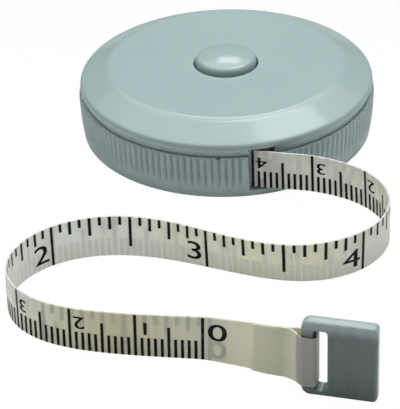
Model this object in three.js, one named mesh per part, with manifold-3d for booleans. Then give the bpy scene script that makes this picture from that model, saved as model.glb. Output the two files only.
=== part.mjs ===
// Round pocket tape measure: a coated cloth tape on a spring-driven reel in a two-shell plastic case.
// The button in the middle of the lid frees the reel, and the tape ends in a pull tab.
// Millimetres, +Z up. The origin is the middle of the case's underside, which stands on the table.
// +X runs to the right and -Y to the front, where the tape leaves the case.

import * as THREE from 'three';
import { mergeVertices } from 'three/addons/utils/BufferGeometryUtils.js';
import Module from 'manifold-3d';

const wasm = await Module();
wasm.setup();

// Clearances
const RUNNING_GAP = 0.3;
const SEAT_GAP = 0.1;
const CUT_MARGIN = 1.0;

// Case shells
const CASE_RADIUS = 25.36;
const WALL_TAPER = 0.56;
const BASE_EDGE = 0.4;
const WALL_SWELL = 0.12;
const WALL_THICKNESS = 1.1;
const FLOOR_THICKNESS = 0.9;
const SEAM_DROP = 0.35;
const SEAM_GAP = 0.2;
const SEAM_CHAMFER = 0.25;
const NECK_HEIGHT = 0.5;
const NECK_INSET = 0.5;
const SHOULDER_RISE = 0.3;

// Flutes moulded into the wall: a vertical floor between tapering ribs, so they fade out below, and the ribs
// end above in a slanting shoulder under the neck
const FLUTE_COUNT = 144;
const FLUTE_DEPTH = 0.4;
const FLUTE_FLOOR_SHARE = 0.3;
const FLUTE_CREST_SHARE = 0.62;
const FLUTE_MOST_SHARE = 0.98;

// Lid
const LID_RISE = 4.05;
const LID_THICKNESS = 1.3;
const PLATEAU_INSET = 5.26;
const PLATEAU_EASE = 0.8;
const BEVEL_INSET = 0.2;
const BEVEL_DROP = 2.34;
const RIM_HEIGHT = 1.1;
const SPIGOT_THICKNESS = 0.9;
const SPIGOT_DEPTH = 1.2;

// Mouth in the wall and lid, where the tape leaves; angles are round the case from +X
const MOUTH_LEFT = -82.0;
const MOUTH_RIGHT = -71.8;
const MOUTH_SKEW = 3.4;
const MOUTH_SILL_GAP = 0.3;
const MOUTH_HEADROOM = 0.5;
const MOUTH_BORDER = 2.2;
const MOUTH_INSET = 1.405;
const MOUTH_TAPE_ANGLE = -80.267;
const CHANNEL_WIDTH = 1.5;

// Button and its brake
const BUTTON_RADIUS = 5.25;
const BUTTON_GAP = 0.22;
const BUTTON_RISE = 1.7;
const BUTTON_DOME_RADIUS = 34;
const BUTTON_SHOULDER = 0.6;
const BUTTON_DRAFT = 20;
const BUTTON_TRAVEL = 1.0;
const BUTTON_FLANGE_WIDTH = 1.15;
const BUTTON_FLANGE_THICKNESS = 0.7;
const BUTTON_LUG_LENGTH = 0.9;
const BUTTON_LUG_WIDTH = 1.6;
const BUTTON_CEILING_DROP = 0.2;
const COLLAR_THICKNESS = 1.0;
const CLIP_TUBE_OUTER = 4.1;
const CLIP_TUBE_THICKNESS = 0.6;
const CLIP_LIP_WIDTH = 0.5;
const CLIP_LIP_THICKNESS = 0.35;
const BRAKE_DISC_RISE = 0.7;
const BRAKE_DISC_GAP = 0.4;
const BRAKE_DISC_THICKNESS = 0.6;
const BRAKE_PAD_THICKNESS = 0.35;

// Centre post of the bottom shell, with the slit that holds the power spring
const POST_RADIUS = 3.0;
const POST_DROP = 1.1;
const PIN_RADIUS = 1.5;
const POST_SLIT_WIDTH = 1.0;
const POST_CORE = 0.9;

// Button spring, a helix of round wire
const BUTTON_SPRING_RADIUS = 2.6;
const BUTTON_SPRING_WIRE = 0.45;
const BUTTON_SPRING_TURNS = 3.5;
const WIRE_STEPS = 10;
const WIRE_SIDES = 6;

// Reel
const DRUM_RADIUS = 12.0;
const DRUM_WALL = 1.2;
const DRUM_WEB = 0.8;
const CHAMBER_LEDGE = 1.0;
const CHAMBER_DROP = 2.5;
const CHAMBER_COVER_THICKNESS = 0.5;
const CAP_LIP_GAP = 0.7;
const CAP_LIP_OVERHANG = 0.2;
const CAP_LIP_THICKNESS = 0.6;
const CAP_SKIRT_THICKNESS = 0.45;
const CAP_SKIRT_DEPTH = 0.8;

// Power spring, a flat steel spiral
const POWER_SPRING_TURNS = 8;
const POWER_SPRING_THICKNESS = 0.2;

// Tape
const TAPE_WIDTH = 7.0;
const TAPE_THICKNESS = 0.25;
const TAPE_HEIGHT_IN_CASE = 1.5;
const WOUND_CLEARANCE = 1.1;
const WOUND_TURNS = 13;
const TAPE_JOINT_GAP = 0.3;
const LOOP_STEPS = 24;
const TAPE_STEP = 2.5;
const ANCHOR_SLOT_WIDTH = 1.0;

// The roll's inner end dips into a slot of the drum; places are along and out from its innermost turn
const ANCHOR_DIP = [[0.9, -0.1], [1.7, -0.4], [2.5, -0.85], [3.3, -1.35]];

// Lower edge of the free tape from the mouth to the pull tab: x and y from the mouth, height above the
// table, and lean in degrees towards the left of the way along the tape
const TAPE_ROUTE = [
  [0.0, 0.0, 1.5, -2.0],
  [4.86, -1.16, 1.6, -3.4],
  [9.71, -2.37, 1.7, -3.7],
  [14.31, -4.29, 1.6, -4.1],
  [18.22, -7.38, 1.5, -3.1],
  [20.76, -11.64, 1.34, -1.5],
  [21.34, -16.57, 1.17, 0.0],
  [19.74, -21.27, 1.01, 1.0],
  [16.34, -24.88, 0.83, 1.4],
  [11.79, -26.88, 0.62, 2.4],
  [6.82, -27.16, 0.45, 5.2],
  [1.93, -26.16, 0.4, 6.7],
  [-2.77, -24.47, 0.4, 6.2],
  [-7.38, -22.51, 0.4, 3.9],
  [-12.01, -20.65, 0.4, 0.5],
  [-16.8, -19.22, 0.4, -2.2],
  [-21.75, -18.57, 0.4, -3.1],
  [-26.71, -19.06, 0.4, -2.5],
  [-31.32, -20.95, 0.4, -1.0],
  [-35.06, -24.24, 0.4, -0.5],
  [-37.38, -28.63, 0.4, 0.0],
  [-37.73, -33.58, 0.4, 0.0],
  [-35.87, -38.17, 0.4, 0.3],
  [-32.31, -41.65, 0.4, 0.5],
  [-27.85, -43.88, 0.4, 1.5],
  [-23.05, -45.25, 0.4, 2.6],
  [-18.13, -46.16, 0.4, 3.3],
  [-13.18, -46.85, 0.4, 4.2],
  [-8.05, -47.57, 0.4, 6.0],
  [-4.92, -48.58, 0.5, 6.5],
  [-1.71, -50.21, 0.85, 5.0],
  [1.47, -52.14, 1.45, 2.0],
];

// Pull tab; its corner, from the mouth, is the front lower one at the tape's end
const TAB_CORNER = [5.99, -56.36];
const TAB_TURN = -14.57;
const TAB_LIFT = 0.1;
const TAB_WIDTH = 11.13;
const TAB_THICKNESS = 2.3;
const TAB_BAR_CORNER = 1.3;
const TAB_FAR_CORNER = 0.7;
const TAB_EDGE = 0.45;
const TAB_BAR_WIDTH = 1.8;
const TAB_SLOT_WIDTH = 2.0;
const TAB_SLOT_BOTTOM = 1.0;
const TAB_SLOT_ROOM = 3.35;
const TAB_TOP_BAR = 1.36;
const TAB_SLOT_LOWER_CORNER = 0.9;
const TAB_SLOT_UPPER_CORNER = 0.5;
const GRIP_COUNT = 3;
const GRIP_RADIUS = 2.0;
const GRIP_DEPTH = 0.16;
const GRIP_PITCH = 2.25;
const GRIP_START = 5.3;

// Loop of the tape right round the tab's bar, and the lap that is welded back on the tape
const LOOP_HEIGHT = 2.2;
const LOOP_FACE_GAP = 0.3;
const LOOP_SLOT_GAP = 0.44;
const LOOP_SLACK = 0.55;
const LOOP_BEND = 1.2;
const LAP_BEND = 0.5;
const BEND_STEPS = 4;
const LAP_LENGTH = 2.5;
const LAP_GAP = 0.3;

// Facets round a full turn, round the dome and round small edges
const SHELL_STEPS = 72;
const ROUND_STEPS = 48;
const SMALL_STEPS = 32;
const DOME_STEPS = 3;
const EDGE_STEPS = 2;
const CORNER_STEPS = 3;

// Place of a quarter round's middle between its ends
const ROUND_SHARE = 1 - Math.SQRT1_2;

// Colours and finishes
const shellPlastic = new THREE.MeshStandardMaterial({ color: 0xa9bcbb, roughness: 0.38, metalness: 0.0 });
const tabPlastic = new THREE.MeshStandardMaterial({ color: 0x8fa3a1, roughness: 0.42, metalness: 0.0 });
const reelPlastic = new THREE.MeshStandardMaterial({ color: 0xe4e4de, roughness: 0.5, metalness: 0.0 });
const padRubber = new THREE.MeshStandardMaterial({ color: 0x2b2b2b, roughness: 0.9, metalness: 0.0 });
const springSteel = new THREE.MeshStandardMaterial({ color: 0x9a9c9e, roughness: 0.3, metalness: 1.0 });
const coatedCloth = new THREE.MeshStandardMaterial({ color: 0xdcdcd2, roughness: 0.55, metalness: 0.0 });

// Geometry tools

function solid(geometry) {
  geometry.deleteAttribute('normal');
  geometry.deleteAttribute('uv');
  const merged = mergeVertices(geometry, 1e-4);
  const index = merged.getIndex().array;
  const kept = [];
  for (let i = 0; i < index.length; i += 3) {
    const [a, b, c] = [index[i], index[i + 1], index[i + 2]];
    if (a !== b && b !== c && c !== a) {
      kept.push(a, b, c);
    }
  }
  return new wasm.Manifold(new wasm.Mesh({
    numProp: 3,
    vertProperties: merged.getAttribute('position').array,
    triVerts: Uint32Array.from(kept),
  }));
}

function geometryOf(body) {
  const { vertProperties, triVerts } = body.getMesh();
  const geometry = new THREE.BufferGeometry();
  geometry.setAttribute('position', new THREE.BufferAttribute(vertProperties, 3));
  geometry.setIndex(new THREE.BufferAttribute(triVerts, 1));
  geometry.computeVertexNormals();
  return geometry;
}

// Body of revolution about Z from [radius, height] points that start and end on the axis
function revolve(profile, steps = ROUND_STEPS) {
  const points = profile.map(([radius, height]) => new THREE.Vector2(radius, height));
  return solid(new THREE.LatheGeometry(points, steps).rotateX(Math.PI / 2));
}

// Ring about Z from a closed run of [radius, height] points, up the outside and down the inside
function ring(profile, steps = ROUND_STEPS) {
  return revolve([...profile, profile[0]], steps);
}

function tube(inner, outer, bottom, top, steps = ROUND_STEPS) {
  return ring([[outer, bottom], [outer, top], [inner, top], [inner, bottom]], steps);
}

function prism(shape, bottom, top) {
  const geometry = new THREE.ExtrudeGeometry(shape, { depth: top - bottom, bevelEnabled: false });
  return solid(geometry.translate(0, 0, bottom));
}

function polar(radius, degrees) {
  const angle = THREE.MathUtils.degToRad(degrees);
  return new THREE.Vector2(radius * Math.cos(angle), radius * Math.sin(angle));
}

// Rectangular bar of a given width along a straight line in plan
function straightCut(from, to, width, bottom, top) {
  const side = new THREE.Vector2().subVectors(to, from).normalize().multiplyScalar(width / 2);
  const across = new THREE.Vector2(-side.y, side.x);
  const outline = new THREE.Shape([
    from.clone().sub(across),
    to.clone().sub(across),
    to.clone().add(across),
    from.clone().add(across),
  ]);
  return prism(outline, bottom, top);
}

// Strip on edge along a path of {x, y, z, lean}, where z is the lower edge and lean is in radians
function strip(path, width, thickness) {
  const positions = [];
  const index = [];
  path.forEach((point, i) => {
    const before = path[Math.max(i - 1, 0)];
    const after = path[Math.min(i + 1, path.length - 1)];
    const along = new THREE.Vector2(after.x - before.x, after.y - before.y).normalize();
    const left = new THREE.Vector3(-along.y, along.x, 0);
    const lower = new THREE.Vector3(point.x, point.y, point.z);
    const rise = left.clone().multiplyScalar(Math.sin(point.lean)).setZ(Math.cos(point.lean));
    const upper = lower.clone().addScaledVector(rise, width);
    [[lower, -1], [lower, 1], [upper, 1], [upper, -1]].forEach(([edge, side]) => {
      positions.push(...edge.clone().addScaledVector(left, side * thickness / 2).toArray());
    });
  });
  const last = (path.length - 1) * 4;
  for (let start = 0; start < last; start += 4) {
    for (let k = 0; k < 4; k += 1) {
      const next = (k + 1) % 4;
      index.push(start + k, start + next, start + 4 + k);
      index.push(start + next, start + 4 + next, start + 4 + k);
    }
  }
  index.push(0, 2, 1, 0, 3, 2);
  index.push(last, last + 1, last + 2, last, last + 2, last + 3);
  const geometry = new THREE.BufferGeometry();
  geometry.setAttribute('position', new THREE.Float32BufferAttribute(positions, 3));
  geometry.setIndex(index);
  return solid(geometry);
}

// Least gap of a wound strip or wire to its own neighbouring turns, measured on its path's points
function printGap(name, path, stepsPerTurn, thickness) {
  let least = Infinity;
  const skip = Math.floor(stepsPerTurn / 2);
  for (let i = 0; i < path.length; i += 1) {
    for (let j = i + skip; j < path.length; j += 1) {
      const distance = Math.hypot(path[i].x - path[j].x, path[i].y - path[j].y, path[i].z - path[j].z);
      least = Math.min(least, distance);
    }
  }
  console.log(`${name}: least gap to itself ${(least - thickness).toFixed(2)} mm`);
}

// Heights follow the upper edge of the wound tape, and radii follow the case's outside
const tapeTop = TAPE_HEIGHT_IN_CASE + TAPE_WIDTH;
const seamHeight = tapeTop - SEAM_DROP;
const fluteTop = seamHeight - NECK_HEIGHT - SHOULDER_RISE;
const lidHeight = seamHeight + LID_RISE;
const brakeDiscTop = tapeTop + BRAKE_DISC_RISE;
const buttonCeiling = lidHeight - BUTTON_CEILING_DROP;
const postHeight = tapeTop - POST_DROP;
const baseRadius = CASE_RADIUS - WALL_TAPER;
const fluteFloorRadius = CASE_RADIUS - FLUTE_DEPTH;
const cavityRadius = baseRadius - WALL_THICKNESS;
const spigotOuter = cavityRadius - RUNNING_GAP;
const spigotInner = spigotOuter - SPIGOT_THICKNESS;
const woundRadius = spigotInner - WOUND_CLEARANCE;

// The tape leaves the roll along the tangent that passes through the mouth
const mouthPoint = polar(CASE_RADIUS - MOUTH_INSET, MOUTH_TAPE_ANGLE);
const tangentTurn = Math.acos(woundRadius / mouthPoint.length());
const leaveAngle = Math.atan2(mouthPoint.y, mouthPoint.x) - tangentTurn;
const pullDirection = new THREE.Vector2(-Math.sin(leaveAngle), Math.cos(leaveAngle));
const leavePoint = new THREE.Vector2(Math.cos(leaveAngle), Math.sin(leaveAngle)).multiplyScalar(woundRadius);

// Room for the tape through the wall and the lid: the mouth and the slanting channel behind it
const mouthOuter = CASE_RADIUS + CUT_MARGIN;
const mouthSill = TAPE_HEIGHT_IN_CASE - MOUTH_SILL_GAP;
const mouthTop = tapeTop + MOUTH_HEADROOM;
const mouthInner = cavityRadius - CUT_MARGIN;
const mouthOutline = new THREE.Shape([
  polar(mouthOuter, MOUTH_LEFT - MOUTH_SKEW / 2),
  polar(mouthOuter, MOUTH_RIGHT),
  polar(mouthInner, MOUTH_RIGHT),
  polar(mouthInner, MOUTH_LEFT + MOUTH_SKEW),
]);
const channelStart = leavePoint.clone().addScaledVector(pullDirection, CHANNEL_WIDTH);
const channelEnd = mouthPoint.clone().addScaledVector(pullDirection, CHANNEL_WIDTH);
const tapeRoom = prism(mouthOutline, mouthSill, mouthTop).add(
  straightCut(channelStart, channelEnd, CHANNEL_WIDTH, mouthSill, mouthTop),
);

// Bottom shell: floor, tapering fluted wall, mouth and centre post

function wallRadius(height) {
  const share = (height - BASE_EDGE) / (fluteTop - BASE_EDGE);
  const taper = THREE.MathUtils.lerp(baseRadius, CASE_RADIUS, share);
  return taper + 4 * WALL_SWELL * share * (1 - share);
}

function fluteCutter() {
  const pitch = 360 / FLUTE_COUNT;
  const reach = CASE_RADIUS + CUT_MARGIN / 2;
  const flankPerMillimetre = (FLUTE_CREST_SHARE - FLUTE_FLOOR_SHARE) / (CASE_RADIUS - fluteFloorRadius);
  const flankShare = FLUTE_FLOOR_SHARE + flankPerMillimetre * (reach - fluteFloorRadius);
  const reachShare = Math.min(FLUTE_MOST_SHARE, flankShare);
  const outline = new THREE.Shape();
  outline.absarc(0, 0, CASE_RADIUS + CUT_MARGIN, 0, 2 * Math.PI);
  const contour = [];
  for (let i = 0; i < FLUTE_COUNT; i += 1) {
    const middle = -90 + (i + 0.5) * pitch;
    const nearMouth = middle > MOUTH_LEFT - MOUTH_BORDER && middle < MOUTH_RIGHT + MOUTH_BORDER;
    const floorRadius = nearMouth ? reach : fluteFloorRadius;
    contour.push(polar(reach, middle - pitch * reachShare / 2));
    contour.push(polar(floorRadius, middle - pitch * FLUTE_FLOOR_SHARE / 2));
    contour.push(polar(floorRadius, middle + pitch * FLUTE_FLOOR_SHARE / 2));
    contour.push(polar(reach, middle + pitch * reachShare / 2));
  }
  outline.holes.push(new THREE.Path(contour));
  return prism(outline, BASE_EDGE, seamHeight + CUT_MARGIN);
}

function bottomCase() {
  const pinHeight = buttonCeiling - BUTTON_TRAVEL - RUNNING_GAP;
  const neckRadius = CASE_RADIUS - NECK_INSET;
  const outside = revolve([
    [0, 0],
    [baseRadius - BASE_EDGE, 0],
    [baseRadius - BASE_EDGE * ROUND_SHARE, BASE_EDGE * ROUND_SHARE],
    [baseRadius, BASE_EDGE],
    [wallRadius(fluteTop / 2), fluteTop / 2],
    [CASE_RADIUS, fluteTop],
    [neckRadius, fluteTop + SHOULDER_RISE],
    [neckRadius, seamHeight],
    [0, seamHeight],
  ], FLUTE_COUNT);
  const cavity = revolve([
    [0, FLOOR_THICKNESS],
    [cavityRadius, FLOOR_THICKNESS],
    [cavityRadius, seamHeight + CUT_MARGIN],
    [0, seamHeight + CUT_MARGIN],
  ], SHELL_STEPS);
  const post = revolve([
    [0, FLOOR_THICKNESS / 2],
    [POST_RADIUS, FLOOR_THICKNESS / 2],
    [POST_RADIUS, postHeight],
    [PIN_RADIUS, postHeight],
    [PIN_RADIUS, pinHeight],
    [0, pinHeight],
  ], SMALL_STEPS);
  const slit = straightCut(
    new THREE.Vector2(POST_CORE, 0),
    new THREE.Vector2(POST_RADIUS + CUT_MARGIN, 0),
    POST_SLIT_WIDTH,
    drumBottom + DRUM_WEB,
    postHeight + CUT_MARGIN / 2,
  );
  return outside.subtract(fluteCutter()).subtract(cavity).subtract(tapeRoom).add(post.subtract(slit));
}

// Lid: crowned plate, bevel and rolled rim, with a spigot that plugs into the wall
// and a notched collar that keeps the button from turning

const lidBottom = seamHeight + SEAM_GAP;
const lidUnderside = lidHeight - LID_THICKNESS;
const buttonHole = BUTTON_RADIUS + BUTTON_GAP;
const flangeRadius = BUTTON_RADIUS + BUTTON_FLANGE_WIDTH;
const collarInner = flangeRadius + RUNNING_GAP;
const collarOuter = collarInner + COLLAR_THICKNESS;
const collarBottom = brakeDiscTop + 2 * SEAT_GAP;
const lugReach = flangeRadius + BUTTON_LUG_LENGTH;

function topCover() {
  const plateauRadius = CASE_RADIUS - PLATEAU_INSET;
  const bevelRadius = CASE_RADIUS - BEVEL_INSET;
  const bevelHeight = lidHeight - BEVEL_DROP;
  const rimShoulder = lidBottom + RIM_HEIGHT;
  const bevelFall = (lidHeight - bevelHeight) / (bevelRadius - plateauRadius);
  const underBevel = plateauRadius - LID_THICKNESS * bevelFall / 2;
  const spigotRoot = lidUnderside - bevelFall * (spigotInner - underBevel);
  const easedEdge = plateauRadius - PLATEAU_EASE;
  const shell = ring([
    [spigotOuter, seamHeight - SPIGOT_DEPTH],
    [spigotOuter, lidBottom],
    [CASE_RADIUS - SEAM_CHAMFER, lidBottom],
    [CASE_RADIUS, lidBottom + SEAM_CHAMFER],
    [CASE_RADIUS, rimShoulder],
    [
      THREE.MathUtils.lerp(CASE_RADIUS, bevelRadius, ROUND_SHARE),
      THREE.MathUtils.lerp(bevelHeight, rimShoulder, ROUND_SHARE),
    ],
    [bevelRadius, bevelHeight],
    [plateauRadius + PLATEAU_EASE, lidHeight - bevelFall * PLATEAU_EASE],
    [plateauRadius, lidHeight - bevelFall * PLATEAU_EASE / 4],
    [easedEdge, lidHeight],
    [buttonHole + BUTTON_GAP, lidHeight],
    [buttonHole, lidHeight - BUTTON_GAP],
    [buttonHole, lidUnderside],
    [collarInner, lidUnderside],
    [collarInner, collarBottom],
    [collarOuter, collarBottom],
    [collarOuter, lidUnderside],
    [underBevel, lidUnderside],
    [spigotInner, spigotRoot],
    [spigotInner, seamHeight - SPIGOT_DEPTH],
  ], SHELL_STEPS);
  const lugNotch = straightCut(
    new THREE.Vector2(-collarOuter - CUT_MARGIN / 2, 0),
    new THREE.Vector2(collarOuter + CUT_MARGIN / 2, 0),
    BUTTON_LUG_WIDTH + 2 * RUNNING_GAP,
    collarBottom - CUT_MARGIN,
    lidUnderside,
  );
  return shell.subtract(tapeRoom).subtract(lugNotch);
}

// Button: domed cap with a flange under the lid, two lugs, and a tube that clips through the brake disc

const flangeTop = lidUnderside - RUNNING_GAP;
const flangeBottom = flangeTop - BUTTON_FLANGE_THICKNESS;
const brakeDiscBottom = brakeDiscTop - BRAKE_DISC_THICKNESS;
const clipTop = brakeDiscBottom - SEAT_GAP;
const clipBottom = clipTop - CLIP_LIP_THICKNESS;

// Upper outline of the button: up the leaning side, round the shoulder and over the dome
function buttonCrown() {
  const draft = THREE.MathUtils.degToRad(BUTTON_DRAFT);
  const foot = new THREE.Vector2(BUTTON_RADIUS, lidHeight);
  const sideOut = new THREE.Vector2(Math.cos(draft), Math.sin(draft));
  const sideUp = new THREE.Vector2(-Math.sin(draft), Math.cos(draft));
  const domeMiddle = new THREE.Vector2(0, lidHeight + BUTTON_RISE - BUTTON_DOME_RADIUS);
  const inside = foot.clone().addScaledVector(sideOut, -BUTTON_SHOULDER);
  const fromDome = inside.clone().sub(domeMiddle);
  const reach = BUTTON_DOME_RADIUS - BUTTON_SHOULDER;
  const along = fromDome.dot(sideUp);
  const climb = Math.sqrt(along ** 2 - fromDome.lengthSq() + reach ** 2) - along;
  const roundMiddle = inside.addScaledVector(sideUp, climb);
  const domeAngle = Math.atan2(roundMiddle.x, roundMiddle.y - domeMiddle.y);
  const crown = [[foot.x, foot.y]];
  for (let i = 0; i <= DOME_STEPS; i += 1) {
    const tilt = THREE.MathUtils.lerp(Math.PI / 2 - draft, domeAngle, i / DOME_STEPS);
    crown.push([
      roundMiddle.x + BUTTON_SHOULDER * Math.sin(tilt),
      roundMiddle.y + BUTTON_SHOULDER * Math.cos(tilt),
    ]);
  }
  for (let i = DOME_STEPS - 1; i >= 0; i -= 1) {
    const tilt = domeAngle * i / DOME_STEPS;
    crown.push([BUTTON_DOME_RADIUS * Math.sin(tilt), domeMiddle.y + BUTTON_DOME_RADIUS * Math.cos(tilt)]);
  }
  return crown;
}

function pushButton() {
  const clipTubeInner = CLIP_TUBE_OUTER - CLIP_TUBE_THICKNESS;
  const cap = revolve([
    [0, buttonCeiling],
    [clipTubeInner, buttonCeiling],
    [clipTubeInner, clipBottom],
    [CLIP_TUBE_OUTER + CLIP_LIP_WIDTH, clipBottom],
    [CLIP_TUBE_OUTER, clipTop],
    [CLIP_TUBE_OUTER, brakeDiscTop + SEAT_GAP],
    [flangeRadius - BUTTON_FLANGE_WIDTH / 2, brakeDiscTop + SEAT_GAP],
    [flangeRadius, flangeBottom],
    [flangeRadius, flangeTop],
    [BUTTON_RADIUS, flangeTop],
    ...buttonCrown(),
  ]);
  const lug = (side) => straightCut(
    new THREE.Vector2(side * BUTTON_RADIUS, 0),
    new THREE.Vector2(side * lugReach, 0),
    BUTTON_LUG_WIDTH,
    flangeBottom,
    flangeTop,
  );
  return cap.add(lug(1)).add(lug(-1));
}

function buttonSpring() {
  const low = postHeight + SEAT_GAP + BUTTON_SPRING_WIRE / 2;
  const high = buttonCeiling - SEAT_GAP - BUTTON_SPRING_WIRE / 2;
  const helix = [];
  const steps = Math.round(BUTTON_SPRING_TURNS * WIRE_STEPS);
  for (let i = 0; i <= steps; i += 1) {
    const angle = (i / WIRE_STEPS) * 2 * Math.PI;
    helix.push(new THREE.Vector3(
      BUTTON_SPRING_RADIUS * Math.cos(angle),
      BUTTON_SPRING_RADIUS * Math.sin(angle),
      THREE.MathUtils.lerp(low, high, i / steps),
    ));
  }
  printGap('button_spring', helix, WIRE_STEPS, BUTTON_SPRING_WIRE);
  const section = new THREE.Shape();
  for (let k = 0; k < WIRE_SIDES; k += 1) {
    const corner = polar(BUTTON_SPRING_WIRE / 2, (k / WIRE_SIDES) * 360);
    if (k === 0) {
      section.moveTo(corner.x, corner.y);
    } else {
      section.lineTo(corner.x, corner.y);
    }
  }
  section.closePath();
  return solid(new THREE.ExtrudeGeometry(section, {
    steps,
    extrudePath: new THREE.CatmullRomCurve3(helix),
  }));
}

// Brake: the button's spring lifts a disc, whose pad presses on the underside of the reel's cap

const drumRoomRadius = DRUM_RADIUS - DRUM_WALL;
const capLipInner = collarOuter + CAP_LIP_GAP;
const brakePadInner = capLipInner + CAP_LIP_OVERHANG;
const brakeDiscRadius = drumRoomRadius - BRAKE_DISC_GAP;
const brakeBore = CLIP_TUBE_OUTER + SEAT_GAP;
const padBottom = brakeDiscTop + SEAT_GAP / 2;
const padTop = padBottom + BRAKE_PAD_THICKNESS;

function brakeDisc() {
  return tube(brakeBore, brakeDiscRadius, brakeDiscBottom, brakeDiscTop);
}

function brakePad() {
  return tube(brakePadInner, brakeDiscRadius, padBottom, padTop);
}

// Reel: drum on the post, with the power spring's chamber, its cover and the cap that the brake holds

const drumBottom = FLOOR_THICKNESS + RUNNING_GAP;
const chamberRadius = drumRoomRadius - CHAMBER_LEDGE;
const chamberTop = tapeTop - CHAMBER_DROP;
const capBottom = padTop + SEAT_GAP;
const capTop = capBottom + CAP_LIP_THICKNESS;
const drumTop = capBottom - SEAT_GAP;
const drumShoulder = drumTop - CAP_SKIRT_DEPTH;
const capSeatRadius = DRUM_RADIUS - CAP_SKIRT_THICKNESS - SEAT_GAP;
const drumBore = POST_RADIUS + RUNNING_GAP;
const woundInner = DRUM_RADIUS + RUNNING_GAP + TAPE_THICKNESS / 2;

const innerAngle = leaveAngle - WOUND_TURNS * 2 * Math.PI;
const anchorOut = new THREE.Vector2(Math.cos(innerAngle), Math.sin(innerAngle));
const anchorAlong = new THREE.Vector2(Math.sin(innerAngle), -Math.cos(innerAngle));

function anchorPoint([along, out]) {
  const point = anchorOut.clone().multiplyScalar(woundInner + out);
  return point.addScaledVector(anchorAlong, along);
}

function reelDrum() {
  const drum = ring([
    [drumBore, drumBottom],
    [DRUM_RADIUS, drumBottom],
    [DRUM_RADIUS, drumShoulder],
    [capSeatRadius, drumShoulder],
    [capSeatRadius, drumTop],
    [drumRoomRadius, drumTop],
    [drumRoomRadius, chamberTop],
    [chamberRadius, chamberTop],
    [chamberRadius, drumBottom + DRUM_WEB],
    [drumBore, drumBottom + DRUM_WEB],
  ]);
  const inmost = anchorPoint(ANCHOR_DIP[ANCHOR_DIP.length - 1]);
  const entry = anchorPoint(ANCHOR_DIP[0]);
  const way = new THREE.Vector2().subVectors(inmost, entry).normalize();
  const slot = straightCut(
    entry.clone().addScaledVector(way, -ANCHOR_SLOT_WIDTH),
    inmost.clone().addScaledVector(way, RUNNING_GAP),
    ANCHOR_SLOT_WIDTH,
    TAPE_HEIGHT_IN_CASE - RUNNING_GAP - CUT_MARGIN,
    TAPE_HEIGHT_IN_CASE + TAPE_WIDTH + RUNNING_GAP,
  );
  return drum.subtract(slot);
}

function reelCap() {
  return ring([
    [DRUM_RADIUS, drumShoulder + SEAT_GAP],
    [DRUM_RADIUS, capTop],
    [capLipInner, capTop],
    [capLipInner, capBottom],
    [DRUM_RADIUS - CAP_SKIRT_THICKNESS, capBottom],
    [DRUM_RADIUS - CAP_SKIRT_THICKNESS, drumShoulder + SEAT_GAP],
  ]);
}

function springCover() {
  const bottom = chamberTop + SEAT_GAP / 2;
  return tube(drumBore, drumRoomRadius - RUNNING_GAP, bottom, bottom + CHAMBER_COVER_THICKNESS);
}

// Power spring: its inner end stands in the post's slit and its outer turn lies on the chamber's wall

function powerSpring() {
  const first = POST_RADIUS + RUNNING_GAP + POWER_SPRING_THICKNESS;
  const last = chamberRadius - RUNNING_GAP - POWER_SPRING_THICKNESS / 2;
  const z = drumBottom + DRUM_WEB + RUNNING_GAP;
  const hook = [POST_CORE + RUNNING_GAP, POST_RADIUS - RUNNING_GAP];
  const path = hook.map((x) => ({ x, y: 0, z, lean: 0 }));
  const steps = POWER_SPRING_TURNS * LOOP_STEPS;
  const coil = [];
  for (let i = 1; i <= steps; i += 1) {
    const spot = polar(THREE.MathUtils.lerp(first, last, i / steps), (i / LOOP_STEPS) * 360);
    coil.push({ x: spot.x, y: spot.y, z, lean: 0 });
  }
  printGap('power_spring', coil, LOOP_STEPS, POWER_SPRING_THICKNESS);
  return strip([...path, ...coil], chamberTop - RUNNING_GAP - z, POWER_SPRING_THICKNESS);
}

// Tape wound on the drum, drawn a little looser than it lies so that the turns stay apart

function woundTape() {
  const z = TAPE_HEIGHT_IN_CASE;
  const coil = [];
  const steps = WOUND_TURNS * LOOP_STEPS;
  const endTrim = TAPE_JOINT_GAP / 2 / woundRadius;
  for (let i = 0; i <= steps; i += 1) {
    const share = i / steps;
    const angle = innerAngle + share * WOUND_TURNS * 2 * Math.PI - (i === steps ? endTrim : 0);
    const radius = THREE.MathUtils.lerp(woundInner, woundRadius, share);
    coil.push({ x: radius * Math.cos(angle), y: radius * Math.sin(angle), z, lean: 0 });
  }
  printGap('wound_tape', coil, LOOP_STEPS, TAPE_THICKNESS);
  const dip = ANCHOR_DIP.map((place) => anchorPoint(place)).reverse();
  const tail = dip.map(({ x, y }) => ({ x, y, z, lean: 0 }));
  return strip([...tail, ...coil], TAPE_WIDTH, TAPE_THICKNESS);
}

// Free tape: straight out of the roll, through the mouth, along its route and round the tab's bar

const tabTurn = THREE.MathUtils.degToRad(TAB_TURN);
const tabAlong = new THREE.Vector2(Math.cos(tabTurn), Math.sin(tabTurn));
const tabBack = new THREE.Vector2(-Math.sin(tabTurn), Math.cos(tabTurn));
const tabCorner = new THREE.Vector2(...TAB_CORNER).add(mouthPoint);
const tabOrigin = tabCorner.addScaledVector(tabBack, TAB_THICKNESS / 2);

function onTab(along, back) {
  return tabOrigin.clone().addScaledVector(tabAlong, along).addScaledVector(tabBack, back);
}

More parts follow.
